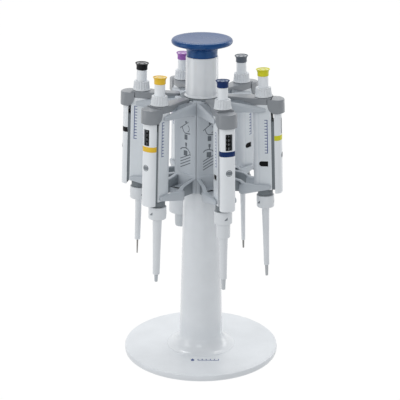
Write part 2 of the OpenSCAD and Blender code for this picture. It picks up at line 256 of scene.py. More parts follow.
def carve(piece, *cutters):
    """Cuts other objects out of a piece and removes them."""
    for cutter in cutters:
        cut = piece.modifiers.new("cut", "BOOLEAN")
        cut.operation = "DIFFERENCE"
        cut.solver = "EXACT"
        cut.object = cutter
    bpy.context.view_layer.update()
    ready = piece.evaluated_get(bpy.context.evaluated_depsgraph_get())
    mesh = bpy.data.meshes.new_from_object(ready)
    piece.modifiers.clear()
    piece.data = mesh
    work = bmesh.new()
    work.from_mesh(mesh)
    bmesh.ops.remove_doubles(work, verts=work.verts, dist=1e-4)
    soften(work, 32)
    work.to_mesh(mesh)
    work.free()
    for cutter in cutters:
        bpy.data.objects.remove(cutter)
    return piece


def joined(name, *pieces):
    """Several masters as one mesh object."""
    work = bmesh.new()
    for piece in pieces:
        work.from_mesh(piece.data)
        bpy.data.objects.remove(piece)
    mesh = bpy.data.meshes.new(name)
    work.to_mesh(mesh)
    work.free()
    return add_object(name, mesh)


def digit_mesh(name, text, height, depth):
    """A raised numeral, centred, in the y-z plane and facing +x."""
    curve = bpy.data.curves.new(name, "FONT")
    curve.body = text
    curve.size = height
    curve.extrude = depth / 2
    curve.align_x = "CENTER"
    curve.align_y = "CENTER"
    holder = add_object(name, curve)
    bpy.context.view_layer.update()
    mesh = bpy.data.meshes.new_from_object(
        holder.evaluated_get(bpy.context.evaluated_depsgraph_get()))
    bpy.data.objects.remove(holder)
    mesh.transform(FACE_OUT)
    return add_object(name, mesh)


# ---- materials -----------------------------------------------------------

GRAIN_SIZE = 0.0012     # of a moulded surface, in metres


def linear(r, g, b):
    """Linear colour of an 8-bit display colour."""
    return tuple(((c / 255 + 0.055) / 1.055) ** 2.4 if c > 10 else c / 3294.6 for c in (r, g, b)) + (1,)


def moulded(name, colour, rough=0.38, grain=0.25, mottle=0.03, coat=0.0, metal=0.0, shine=0.5,
            gleam=(1, 1, 1)):
    """Moulded plastic: slight cloudy colour, uneven gloss and a fine eroded grain. Metal when asked."""
    material = bpy.data.materials.new(name)
    material.use_nodes = True
    tree = material.node_tree
    nodes, links = tree.nodes, tree.links
    shader = nodes["Principled BSDF"]
    place = nodes.new("ShaderNodeTexCoord")
    cloud = nodes.new("ShaderNodeTexNoise")
    cloud.inputs["Scale"].default_value = 38
    cloud.inputs["Detail"].default_value = 4
    fine = nodes.new("ShaderNodeTexNoise")
    fine.inputs["Scale"].default_value = 1 / GRAIN_SIZE
    fine.inputs["Detail"].default_value = 2
    tint = nodes.new("ShaderNodeValToRGB")
    base = linear(*colour)
    tint.color_ramp.elements[0].position = 0.3
    tint.color_ramp.elements[1].position = 0.7
    tint.color_ramp.elements[0].color = tuple(c * (1 - mottle) for c in base[:3]) + (1,)
    tint.color_ramp.elements[1].color = tuple(min(1, c * (1 + mottle)) for c in base[:3]) + (1,)
    gloss = nodes.new("ShaderNodeMapRange")
    gloss.inputs["To Min"].default_value = rough * 0.86
    gloss.inputs["To Max"].default_value = rough * 1.14
    bump = nodes.new("ShaderNodeBump")
    bump.inputs["Strength"].default_value = grain
    bump.inputs["Distance"].default_value = 0.00006
    links.new(place.outputs["Object"], cloud.inputs["Vector"])
    links.new(place.outputs["Object"], fine.inputs["Vector"])
    links.new(cloud.outputs["Fac"], tint.inputs["Fac"])
    links.new(tint.outputs["Color"], shader.inputs["Base Color"])
    links.new(cloud.outputs["Fac"], gloss.inputs["Value"])
    links.new(gloss.outputs["Result"], shader.inputs["Roughness"])
    links.new(fine.outputs["Fac"], bump.inputs["Height"])
    links.new(bump.outputs["Normal"], shader.inputs["Normal"])
    shader.inputs["Metallic"].default_value = metal
    shader.inputs["Specular IOR Level"].default_value = shine
    shader.inputs["Specular Tint"].default_value = (*gleam, 1)
    if coat:
        shader.inputs["Coat Weight"].default_value = coat
        shader.inputs["Coat Roughness"].default_value = 0.12
    return material


# ---- placing -------------------------------------------------------------

def stamp(master, name, matrix, body, material, nodes=()):
    """A copy of a master mesh in the row frame, riding on a body."""
    mesh = master.data.copy()
    mesh.name = name
    mesh.transform(matrix)
    mesh.materials.clear()
    mesh.materials.append(material)
    piece = add_object(name, mesh)
    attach(piece, body)
    if nodes:
        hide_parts(*nodes)
    return piece


def discard(*masters):
    for master in masters:
        bpy.data.objects.remove(master)


# ---- paints --------------------------------------------------------------

def mix_paints():
    """All materials, by the record's slot names and a few names for trim."""
    # colour, roughness, grain and what else a finish sets
    finishes = {
        "white_base": ((236, 239, 242), 0.34, 0.12, {"coat": 0.25}),
        "white_plastic": ((234, 237, 240), 0.24, 0.1, {"coat": 0.5}),
        "handle_white": ((243, 246, 249), 0.33, 0.12, {"coat": 0.25}),
        "ring_white": ((230, 233, 236), 0.45, 0.3, {}),
        "sleeve_white": ((232, 235, 238), 0.34, 0.15, {"coat": 0.2}),
        "holder_grey": ((194, 200, 206), 0.4, 0.3, {}),
        # painted shade: darker grey on the root plates of the lower arms' pockets, for the shade in them
        "pocket_painted_shade": ((142, 149, 155), 0.6, 0.35, {}),
        "rest_grey": ((141, 145, 150), 0.34, 0.3, {"mottle": 0.05, "coat": 0.25}),
        # painted shade: dark grey for the seams between the holder panels and for the inner frame in the
        # gap between the halves of each handle
        "core_dark": ((120, 127, 132), 0.5, 0.4, {"mottle": 0.05}),
        "knob_blue": ((0, 62, 124), 0.28, 0.12, {"mottle": 0.05, "shine": 0.6, "gleam": (0.5, 0.76, 1)}),
        "rubber_pad": ((52, 53, 56), 0.8, 0.8, {"mottle": 0.1}),
        "steel": ((176, 179, 184), 0.3, 0.2, {"mottle": 0.06, "metal": 1.0}),
        "bearing_polymer": ((150, 153, 157), 0.5, 0.3, {}),
        "label_tint": ((229, 234, 238), 0.3, 0.08, {"coat": 0.3}),
        "print_blue": ((24, 62, 132), 0.45, 0.1, {"mottle": 0.06}),
        "print_grey": ((98, 105, 112), 0.5, 0.1, {"mottle": 0.06}),
        # black of the counter wheels, and painted shade on the plate at the bottom of the side slot
        "window_black_and_slot_shade": ((8, 9, 11), 0.6, 0.1, {"mottle": 0.1, "shine": 0.15}),
        "digit_white": ((150, 153, 158), 0.5, 0.1, {}),
        "plug_grey": ((126, 132, 138), 0.36, 0.3, {"mottle": 0.05}),
    }
    paint = {name: moulded(name, *values, **more) for name, (*values, more) in finishes.items()}
    nozzles = {
        "blue": (212, 216, 219), "yellow": (196, 198, 200), "grey": (150, 148, 145),
        "violet": (214, 218, 221), "black": (150, 145, 141), "orange": (200, 205, 209),
    }
    for colour, value in nozzles.items():
        paint["nozzle_" + colour] = moulded("nozzle_" + colour, value, 0.4, 0.2, mottle=0.05)
    buttons = {
        "blue": (0, 42, 98), "yellow": (226, 222, 44), "grey": (100, 107, 117),
        "violet": (164, 104, 186), "black": (12, 14, 18), "orange": (250, 204, 60),
    }
    for colour, value in buttons.items():
        paint["button_" + colour] = moulded("button_" + colour, value, 0.36, 0.12, mottle=0.05, shine=0.2)
        pale = tuple(0.35 * v + 0.65 * 240 for v in value)
        paint["dish_" + colour] = moulded("dish_" + colour, pale, 0.4, 0.12, coat=0.2)
    return paint


# ---- stand ---------------------------------------------------------------

def whole(name, master, paint, slot, body, *nodes):
    """Places a master once, in the stand's frame, and removes it."""
    piece = stamp(master, name, STAND, body, paint[slot], nodes)
    discard(master)
    return piece


def build_stand(paint):
    low, high = box_mm("base_plate")
    edge, under, top = high.x, low.z, high.z
    ballast_high = box_mm("base_weight")[1]
    hollow, ceiling = ballast_high.x + 8, ballast_high.z + 0.15
    rod_r, nut_r, boss_r, nut_top = 5.4, 10, 14, 4
    outline = rounded([
        (rod_r, nut_top), (nut_r, nut_top), (nut_r, under), (boss_r, under, 0.3), (boss_r, ceiling),
        (hollow, ceiling), (hollow, under, 0.3), (edge - 0.5, under, 1.6),
        (edge, top - 3.4, 1.4), (edge - 0.25, top, 2.0), (edge - 7, top), (rod_r, top),
    ], closed=True)
    whole("base", lathe("base", outline, Matrix(), 160, loop=True),
          paint, "white_base", "stand", "base_plate")

    low, high = box_mm("column")
    neck_low, neck_high = box_mm("neck")
    foot = high.x
    fillet = 16.0
    shoulder = box_mm("thrust_washer")[0].z
    shoulder_r, journal_r, rim = 21.5, 15, 0.25
    outline = [(rod_r, low.z), (foot, low.z), (foot, low.z + rim)]
    outline += arc(foot, low.z + rim + fillet, fillet, 268, 184, 14)
    outline += rounded([
        (foot - fillet + 0.1, low.z + fillet + 4), (shoulder_r, shoulder, 0.8), (journal_r, shoulder),
        (journal_r, neck_low.z), (rod_r, neck_low.z)
    ])
    whole("column_shell", lathe("column_shell", outline, Matrix(), 128, loop=True),
          paint, "white_plastic", "stand", "column")

    neck_r = neck_high.x
    outline = rounded([
        (rod_r, neck_low.z), (neck_r + 1.4, neck_low.z), (neck_r + 1.5, neck_low.z + 0.5, 0.3),
        (neck_r + 0.1, neck_low.z + 2.6, 1.5),
        (neck_r - 0.5, neck_high.z, 0.4), (neck_r - 2.6, neck_high.z), (neck_r - 2.6, neck_low.z + 5),
        (rod_r, neck_low.z + 5)
    ], closed=True)
    whole("neck_shell", lathe("neck_shell", outline, Matrix(), 112, loop=True),
          paint, "white_plastic", "stand", "neck")

    low, high = box_mm("knob")
    disc, crown = high.x, high.z
    outline = [(0, low.z), (neck_r - 3.4, low.z), (neck_r - 3.4, neck_high.z + 0.1)]
    outline += rounded([(neck_r - 1.6, neck_high.z + 0.1), (neck_r - 1.4, neck_high.z + 0.8, 0.4),
                        (neck_r - 1.3, neck_high.z + 4)])
    outline += arc(neck_r + 5.2, neck_high.z + 5.2, 6.5, 180, 116, 12)
    outline += arc(disc - 3.3, crown - 3.6, 3.3, -78, 78, 14)
    outline += [(disc - 5, crown - 0.12), (disc - 7, crown - 0.22), (disc - 12, crown - 0.5),
                (0, crown - 0.85)]
    whole("knob_disc", lathe("knob_disc", outline, Matrix(), 144), paint, "knob_blue", "stand", "knob")

    for node in ("base_weight", "tie_rod"):
        dress(node, paint["steel"])
    dress("base_pad", paint["rubber_pad"])
    dress("thrust_washer", paint["bearing_polymer"])
    build_base_mark(paint, top)


def dress(node, material):
    """A CAD node that stays as it is, with a better material."""
    mesh = frame["nodes"][node].data
    mesh.materials.clear()
    mesh.materials.append(material)


def build_base_mark(paint, top):
    """Printed sign on the base's front: a drop and a plain rule with equal ticks, no lettering."""
    x0, y0 = -10, -53.5

    def flat(outline):
        pieces.append(slab("mark", outline, top - 0.05, top + 0.06, edge=0.02, steps=1))

    pieces = []
    flat([(x0 + x, y0 + 2.4 + y) for x, y in arc(0, -0.2, 2.2, 140, 400, 18)] + [(x0, y0 + 6.4)])
    flat(rounded([(x0 + 6, y0 + 1.2, 0.5), (x0 + 32, y0 + 1.2, 0.5), (x0 + 32, y0 + 2.4, 0.5),
                  (x0 + 6, y0 + 2.4, 0.5)], closed=True))
    for i in range(6):
        x = x0 + 6.6 + 4.96 * i
        flat([(x - 0.5, y0 + 2.9), (x + 0.5, y0 + 2.9), (x + 0.5, y0 + 5.4), (x - 0.5, y0 + 5.4)])
    master = joined("base_mark", *pieces)
    stamp(master, "base_mark", STAND, "stand", paint["print_blue"])
    discard(master)


# ---- carousel ------------------------------------------------------------

HUB_R = 33.7            # axis to the seams between the holder panels
BULGE = 1.6             # how far a panel stands out from a flat face
FACE_HALF = HUB_R * math.sin(math.radians(30))
FACE_X = HUB_R * math.cos(math.radians(30))
FACE_R = (FACE_HALF ** 2 + BULGE ** 2) / (2 * BULGE)
FIELD = (235, 310)      # lower and upper edge of the scooped field on each panel
FIELD_HALF = 12.6
FIELD_DEEP = 3.0
SEAM = 0.62             # from a panel's corner to the middle of the seam


def ease(t):
    """Smooth step from 0 to 1."""
    t = max(0.0, min(1.0, t))
    return t * t * (3 - 2 * t)


def face_at(w, z):
    """Distance of the panel's face from the stand's axis plane, at a width and a height."""
    x = FACE_X + BULGE - FACE_R + math.sqrt(FACE_R ** 2 - w * w)
    past = max(0, z - FIELD[1] + 9) / 9
    bowl = 1 - (w / FIELD_HALF) ** 2 - past ** 2
    bowl = (bowl + math.sqrt(bowl * bowl + 0.01)) / 2
    return x - FIELD_DEEP * bowl * ease((z - FIELD[0]) / 1.2)


def panel_master():
    low, high = box_mm("holder_panels")
    core_r = 26             # inner face of the panels
    saddle_deep, saddle_half = 2.4, 8
    edge_r = 0.9
    heights = [low.z + d for d in (0, 0.15, 0.45, 0.9, 6)]
    heights += [FIELD[0] + d for d in (-0.3, 0, 0.3, 0.6, 0.9, 1.2, 1.6)] + [250, 265, 280, 295]
    heights += [FIELD[1] - 10 + d for d in range(14)]
    heights += [high.z - 4] + [high.z - d for d in (2.4, 1.9, 1.4, 0.9, 0.45, 0.15, 0)]
    heights.sort()
    rings = []
    for z in heights:
        near = min(z - low.z, high.z - z)
        trim = edge_r * (1 - math.sqrt(max(0, 1 - (1 - min(near, edge_r) / edge_r) ** 2)))
        ring = []
        for i in range(41):
            w = (FACE_HALF - SEAM) * (i / 20 - 1)
            side = max(0, (abs(w) - FACE_HALF + SEAM + 1.0) / 1.0)
            ring.append((face_at(w, z) - trim - 0.55 * side * side, w))
        ring += arc(0, 0, core_r, 29, -29, 20)
        points = []
        for x, w in ring:
            sink = saddle_deep * ease((saddle_half + 0.5 - abs(w)) / 1.0)
            points.append((x, w, min(z, high.z - sink)))
        rings.append(points)
    return skin("panel", rings, angle=50)


def web_master():
    """Cradle between the lower arms, hollowed towards the handle."""
    low_z, high_z = 214, 221
    outline = [(FACE_X, -10), (45.4, -10)] + arc(53, 0, 11.4, 226, 134, 14) + [(45.4, 10), (FACE_X, 10)]
    return slab("web", outline, low_z, high_z, edge=0.8, top_edge=1.6)


def along(stations, parts=4):
    """Stations joined by smooth curves, with more stations between."""
    result = []
    count = len(stations)
    for i in range(count - 1):
        p = [stations[max(0, min(count - 1, i + k))] for k in (-1, 0, 1, 2)]
        for s in range(parts):
            t = s / parts
            result.append(tuple(
                0.5 * (2 * b + (c - a) * t + (2 * a - 5 * b + 4 * c - d) * t * t
                       + (3 * b - a - 3 * c + d) * t ** 3)
                for a, b, c, d in zip(*p)))
    result.append(stations[-1])
    return result


def bar(name, stations, round_r, tip, side=1, butt=0, drop=0):
    """Tapered bar along x through stations of (x, inner y, outer y, lower z, upper z).

    tip and butt are the lengths of its rounded ends, drop is how far the top falls towards the outside.
    """
    rings = []
    path = along(stations)

    def end(station, length):
        x, y0, y1, z0, z1 = station
        result = []
        for k in range(1, 7):
            a = math.radians(15 * k)
            shrink = (y1 - y0) / 2 * (1 - math.cos(a))
            result.append((x + length * math.sin(a), y0 + shrink, y1 - shrink, z0 + shrink, z1 - shrink))
        return result

    path = (end(path[0], -butt)[::-1] if butt else []) + path + end(path[-1], tip)
    for x, y0, y1, z0, z1 in path:
        r = max(0.02, min(round_r, 0.48 * (y1 - y0), 0.48 * (z1 - z0)))
        section = arc(y1 - r, z1 - r, r, 0, 90, 4) + arc(y0 + r, z1 - r, r, 90, 180, 4)
        section += arc(y0 + r, z0 + r, r, 180, 270, 4) + arc(y1 - r, z0 + r, r, 270, 360, 4)
        fall = drop / 3.2 / max(z1 - z0, 0.01)
        rings.append([(x, side * y, z - fall * (y - y0) * (z - z0)) for y, z in section])
    return skin(name, rings, angle=50)


def plate_y(name, outline, y0, y1, edge, side=1):
    """Flat plate across y from an outline in x and z, with slightly broken edges."""
    rings = []
    for y, d in ((y0, edge), (y0 + edge, 0), (y1 - edge, 0), (y1, edge)):
        rings.append([(x, side * y, z) for x, z in inset(outline, d)])
    return skin(name, rings, angle=50)


def arm_masters():
    """Upper arm, lower arm and the root plate of the lower arm's pocket, which gets a darker painted shade,
    for each side.
    """
    top = box_mm("holder_panels")[1].z
    low = box_mm("holder_panels")[0].z - 2
    upper = [
        (FACE_X - 1.5, 12.9, 15.8, top - 17, top - 0.9), (FACE_X + 2.5, 12.7, 15.9, top - 16.2, top - 1.4),
        (44, 11.8, 15.3, top - 14.6, top - 3.2), (58, 10.6, 14.4, top - 14.1, top - 5.0),
        (70, 10.2, 13.4, top - 13.8, top - 7.0), (74.9, 10.2, 12.9, top - 13.3, top - 7.9)
    ]
    tine = [
        (50.5, 10.6, 17.0, low - 0.3, low + 11.9), (54, 10.3, 17.5, low + 0.1, low + 12.5),
        (64, 10.2, 16.4, low + 2.2, low + 12.3), (74, 10.2, 15.1, low + 4.3, low + 12.2),
        (82.8, 10.2, 13.8, low + 5.9, low + 11.7)
    ]
    root = [(FACE_X - 1.5, low + 1.8), (51.5, low + 1.6), (52.5, low + 12), (51.5, low + 14.5),
            (48.8, low + 16.4), (FACE_X - 1.5, low + 20.8)]
    flange = rounded([
        (50.6, low + 9.5), (54.5, low + 9.5), (56, low + 12.2), (53, low + 14.2, 3), (49, low + 16.9, 3),
        (FACE_X - 1.5, low + 21.2), (FACE_X - 1.5, low + 19.7), (47.6, low + 15.5, 3), (50.6, low + 13, 2)
    ], closed=True)
    masters = []
    for side in (1, -1):
        masters.append(bar("upper_arm", upper, 1.1, 2.1, side, drop=2.4))
        masters.append(joined("lower_arm", bar("tine", tine, 1.6, 2.4, side, butt=3),
                              plate_y("flange", flange, 11.6, 16.1, 0.5, side)))
        masters.append(plate_y("root", root, 10.2, 12.2, 0.3, side))
    return masters


INK_LIFT, INK_SINK = 0.12, 0.15     # a printed line stands above its surface and is rooted below it


def stroke(points, width, surface):
    """Raised printed line through (across, up) points of a surface function."""
    rings = []
    count = len(points)
    for i, (u, v) in enumerate(points):
        a = Vector(points[max(0, i - 1)])
        b = Vector(points[min(count - 1, i + 1)])
        along_line = (b - a).normalized()
        n = Vector((-along_line.y, along_line.x)) * width / 2
        left, right = (u + n.x, v + n.y), (u - n.x, v - n.y)
        rings.append([surface(*left, INK_LIFT), surface(*right, INK_LIFT),
                      surface(*right, -INK_SINK), surface(*left, -INK_SINK)])
    return skin("stroke", rings)


def panel_surface(w, z, lift):
    return (face_at(w, z) + lift, w, z)


def diagram_master():
    """Line drawings on a panel: a tool held at its hook, the tool put in place, and four slanted lines."""
    lines = []

    def draw(points, width):
        lines.append(stroke(points, width, panel_surface))

    draw([(-8, 290.2), (-4.5, 292.6), (0.5, 296.4), (4, 298.6)], 0.9)
    draw([(-5.6, 292), (-4.6, 289), (-3.4, 286.4), (-1.6, 284.9)], 0.8)
    draw([(-1.8, 284.7), (2, 284.5), (7, 285.2)], 1.3)
    draw(arc(1.5, 290.6, 4.0, 70, -75, 10), 0.9)
    draw([(0, 277), (0.1, 283)], 4.4)
    draw([(0.1, 299.4), (0.2, 296.8)], 2.2)
    draw([(0.2, 269.6), (0.2, 273.4)], 2.6)
    draw([(0.2, 266.4), (0.2, 269.6)], 1.2)
    draw([(-8, 264), (-5.4, 266.2), (-1, 266.9), (3.4, 265.6), (6.4, 262.6), (7.4, 258.8)], 1.1)
    draw([(-0.6, 257.4), (-0.5, 263.6)], 5.6)
    for i in range(4):
        start = 244.6 + 3.5 * i
        draw([(-8, start - 2.2), (-2.5, start + 0.4), (2.5, start + 2.9), (7.5, start + 5.4)], 1.0)
    return joined("diagram", *lines)


def build_carousel(paint):
    hub_low, hub_high = box_mm("hub_core")
    bore_r, step_r, step = 15.05, 19.4, hub_high.z - 0.5
    outline = rounded([
        (bore_r, hub_low.z, 0.3), (hub_high.x, hub_low.z, 0.4), (hub_high.x, hub_high.z, 0.5),
        (step_r, hub_high.z), (step_r, step), (bore_r, step, 0.3)
    ], closed=True)
    ring = whole("hub_ring", lathe("hub_ring", outline, Matrix(), 96, loop=True),
                 paint, "holder_grey", "carousel", "hub_core")
    ring.data.materials[0] = paint["core_dark"]     # painted shade: the ring is painted dark so that the seams between the panels look shaded
    panel, web, diagram = panel_master(), web_master(), diagram_master()
    arms = arm_masters()
    for colour in COLOURS:
        at = holder_frame(colour)
        grey = paint["holder_grey"]
        stamp(panel, f"panel_{colour}", at, "carousel", grey, ["holder_panels"])
        stamp(web, f"web_{colour}", at, "carousel", grey, ["holder_panels"])
        stamp(diagram, f"diagram_{colour}", at, "carousel", paint["print_grey"])
        for n, arm in enumerate(arms):
            kind = ("upper_arm", "lower_arm", "arm_root")[n % 3]
            hand = "left" if n < 3 else "right"
            node = "upper_arms" if n % 3 == 0 else "lower_arms"
            # the root plates get painted shade, a darker grey than the holders
            finish = paint["pocket_painted_shade"] if kind == "arm_root" else grey
            stamp(arm, f"{kind}_{hand}_{colour}", at, "carousel", finish, [node])
    discard(panel, web, diagram, *arms)


# ---- pipettes: outlines of each model ------------------------------------

# top and bottom diameter of the sleeve, where it ends, diameter and end of the nozzle
MODELS = {
    "blue": (10.6, 7.9, 202.6, 5.6, 215.9),
    "yellow": (9.0, 6.4, 209.1, 4.2, 223.1),
    "grey": (6.9, 4.8, 206.4, 2.7, 217.4),
    "violet": (30.0, 31.0, 172.6, 16.0, 192.1),
    "black": (7.8, 6.8, 188.6, 2.3, 207.0),
    "orange": (10.8, 8.2, 203.4, 4.6, 212.9),
}
# figures on the four counter wheels, top to bottom
READING = {
    "blue": "1000", "yellow": "0100", "grey": "0050", "violet": "0500", "black": "0250", "orange": "0200",
}

SIDE_Y = 9.75           # half the handle's width
BACK_X = -3.25          # where the rounded back of the handle begins
SPLIT_X = 9.6           # front edge of the rear half
REST_Z = -7.8           # underside of the finger rest
HOUSING_LOW = -111.2    # lower end of the rear half
BAND_LOW = -118.8       # lower end of the dark band below it
COVER = (13.2, 20.88, 9.0, -115.8, -12.0)    # back, front, half width, lower end, upper end
WINDOW = (-43.8, -24.8)     # lower and upper edge of the display opening
PLUG_Z = -69.8          # middle of the round plug in the cover
COLLAR = (-134.6, -119.6)   # lower and upper end of the sleeve's collar
COLLAR_R = 10.4
NOTCH_Z = -79.0         # middle of the slot in the handle's side
WHEEL_X, WHEEL_R = 16.6, 3.2    # the counter wheels' axis and radius
WHEEL_PITCH = (WINDOW[1] - WINDOW[0]) / 4
ROD_X = 7.9             # the ejector's push rod, from the pipette's axis
TUBE_R, TUBE_END = 4.9, -131    # the pipette's cylinder and its lower end


def side_y(x):
    """Half width of the handle's rear half at a depth."""
    if x >= BACK_X:
        return SIDE_Y
    return math.sqrt(max(0, SIDE_Y ** 2 - (x - BACK_X) ** 2))


def front_x(y, grow=0.0):
    """The front cover's face at a width."""
    back, front, half = COVER[0] + 0.6, COVER[1] + grow, COVER[2] + grow
    return back + (front - back) * max(0, 1 - (abs(y) / half) ** 2.4) ** (1 / 2.4)


def cover_outline(grow, start):
    """Plan of the front cover, anticlockwise from its -y side, from a depth forward."""
    half = COVER[2] + grow
    points = [(start, -half)]
    for i in range(33):
        a = math.radians(-90 + 180 * i / 32)
        y = half * math.copysign(abs(math.sin(a)) ** (2 / 2.4), math.sin(a))
        points.append((front_x(y, grow), y))
    points.append((start, half))
    return points


def housing_master():
    wall = 1.5
    outer = [(SPLIT_X, SIDE_Y)] + arc(BACK_X, 0, SIDE_Y, 90, 270, 32) + [(SPLIT_X, -SIDE_Y)]
    inner_y = SIDE_Y - wall
    inner = [(SPLIT_X, -inner_y)] + arc(BACK_X, 0, inner_y, 270, 90, 32) + [(SPLIT_X, inner_y)]
    shell = slab("housing", outer + inner, HOUSING_LOW, REST_Z, edge=0.45, top_edge=0.2, angle=50)
    return carve(shell, notch_cutter())


def notch_outline(grow):
    """Slot in the side of the handle, round at the back."""
    r, front = 3.25 + grow, 5.6 + grow
    return arc(-1.95, NOTCH_Z, r, 90, 270, 12) + [(front, NOTCH_Z - r), (front, NOTCH_Z + r)]


def prism_y(name, outline, y0, y1):
    """Prism along y from an outline in x and z."""
    return skin(name, [[(x, y, z) for x, z in outline] for y in (y0, y1)])


def notch_cutter():
    return prism_y("cutter", notch_outline(0), -SIDE_Y - 1, -SIDE_Y + 3)


# painted shade: black plate at the bottom of the slot, for the shade inside it
def notch_master():
    return prism_y("notch", notch_outline(0.5), 1.05 - SIDE_Y, 1.5 - SIDE_Y)


def side_label_master(side):
    """Tinted field on one side of the handle."""
    rows = []
    lift, sink = 0.07, 0.2
    back, width = -6, 14.6
    for z, shrink in ((-14.2, 0.4), (-14.6, 0.0), (-104.0, 0.0), (-104.4, 0.4)):
        xs = [back + shrink + (width - 2 * shrink) * i / 12 for i in range(13)]
        row = [(x, side * (side_y(x) + lift), z) for x in xs]
        row += [(x, side * (side_y(x) - sink), z) for x in reversed(xs)]
        rows.append(row)
    label = skin("label", rows)
    if side > 0:
        return label
    return carve(label, notch_cutter())


def side_marks_master(side):
    """Plain rule with equal, evenly spaced ticks on a handle's side, in place of the printing."""
    def surface(x, z, lift):
        return (x, side * (side_y(x) + lift), z)

    step, count = 3.6, 12
    top = -18.0 if side > 0 else -26.0
    low = top - step * (count - 1)
    marks = [stroke([(5.2, top + 0.4), (5.2, low - 0.4)], 0.8, surface)]
    for i in range(count):
        z = top - step * i
        marks.append(stroke([(2.0, z), (5.2, z)], 0.8, surface))
    return joined("side_marks", *marks)


def cover_master():
    back, front, _, low, high = COVER
    shell = slab("cover", cover_outline(0, back), low, high, edge=1.1, top_edge=0.8, angle=50)
    hollow = slab("hollow", cover_outline(-1.4, back - 2), low + 1.4, high - 1.4, edge=0.1, steps=1)
    opening = rounded([(-4.1, WINDOW[0], 0.7), (4.1, WINDOW[0], 0.7), (4.1, WINDOW[1], 0.7),
                       (-4.1, WINDOW[1], 0.7)], closed=True)
    cutter = skin("cutter", [[(x, y, z) for y, z in opening] for x in (front - 5, front + 1)])
    return carve(shell, hollow, cutter)


def colour_band_master():
    """Coloured band around the front cover below the display."""
    low, high, back = -50.8, -44.8, COVER[0] + 0.05
    outline = cover_outline(0.07, back) + cover_outline(-0.3, back)[::-1]
    return slab("band", outline, low, high, edge=0.05, steps=1, angle=50)


def plug_master():
    """Round plug with a groove and a slot, in the cover's front."""
    outline = [(0, -0.8), (3.75, -0.8), (3.75, 0.0), (3.5, 0.14), (3.05, 0.14), (2.95, -0.1), (2.6, -0.1),
               (2.5, 0.1), (0.9, 0.16), (0.8, 0.02), (0, 0.02)]
    place = Matrix.Translation((COVER[1] - 0.02, 0, PLUG_Z))
    return lathe("plug", outline, place @ FACE_OUT, 48)


def frame_master():
    """Inner frame that shows between the two halves of the handle and as a band below them; its dark paint
    is painted shade for the gap between the halves.
    """
    width = 8.3
    low, step, high = -111.0, -28.0, -20.8
    lower = rounded([(9.2, -width), (13.5, -width, 0.3), (13.5, width, 0.3), (9.2, width)], closed=True)
    parts = [slab("strip", lower, low, step, edge=0.2, steps=2)]
    band = rounded([(2.2, BAND_LOW), (8.7, BAND_LOW, 0.3), (8.9, HOUSING_LOW - 0.05, 0.3),
                    (2.2, HOUSING_LOW - 0.05)], closed=True)
    band_piece = lathe("band", band, steps=64, loop=True)
    bore_r, low_end, high_end = 1.6, BAND_LOW - 1, HOUSING_LOW + 1
    rod_hole = lathe("bore", [(0, low_end), (bore_r, low_end), (bore_r, high_end), (0, high_end)],
                     Matrix.Translation((ROD_X, 0, 0)), 24)
    parts.append(carve(band_piece, rod_hole))
    tube = rounded([(2.6, low), (TUBE_R, low), (TUBE_R, -10), (2.6, -10)], closed=True)
    parts.append(lathe("tube", tube, steps=40, loop=True))
    for side in (1, -1):
        upper = [(9.2, side * 2.2), (10.0, side * 2.2), (10.0, side * width), (9.2, side * width)]
        parts.append(slab("strip", upper if side > 0 else upper[::-1], step, high, edge=0.05, steps=1))
        web = [(3.4, side * 2.8), (9.4, side * 2.8), (9.4, side * 4.0), (3.4, side * 4.0)]
        parts.append(slab("web", web if side > 0 else web[::-1], low, step, edge=0.05, steps=1))
    return joined("frame", *parts)


def counter_master():
    """Four counter wheels on a spindle."""
    place = Matrix.Translation((WHEEL_X, 0, 0))
    low_end, high_end = WINDOW[0] - 2.5, WINDOW[1] + 2.5
    wheels = [lathe("spindle", [(0, low_end), (1, low_end), (1, high_end), (0, high_end)], place, 20)]
    for i in range(4):
        low = WINDOW[0] + WHEEL_PITCH * i + 0.12
        high = low + WHEEL_PITCH - 0.24
        r = WHEEL_R - 0.04
        outline = rounded([(1, low), (r, low, 0.2), (r, high, 0.2), (1, high)])
        wheels.append(lathe("wheel", outline, place, 48))
    return joined("counter", *wheels)


def figures_master(reading):
    """The numbers on the counter wheels, bent onto them."""
    parts = []
    for i, figure in enumerate(reading):
        middle = WINDOW[1] - WHEEL_PITCH * (i + 0.5)
        for turn in (-1, 0, 1):
            value = str((int(figure) + turn) % 10)
            piece = digit_mesh("figure", value, 3.5, 0.1)
            for v in piece.data.vertices:
                a = v.co.y / WHEEL_R + math.radians(54) * turn
                r = WHEEL_R - 0.02 + v.co.x * 0.8
                v.co = Vector((WHEEL_X + r * math.cos(a), r * math.sin(a), middle + v.co.z))
            parts.append(piece)
    return joined("figures", *parts)


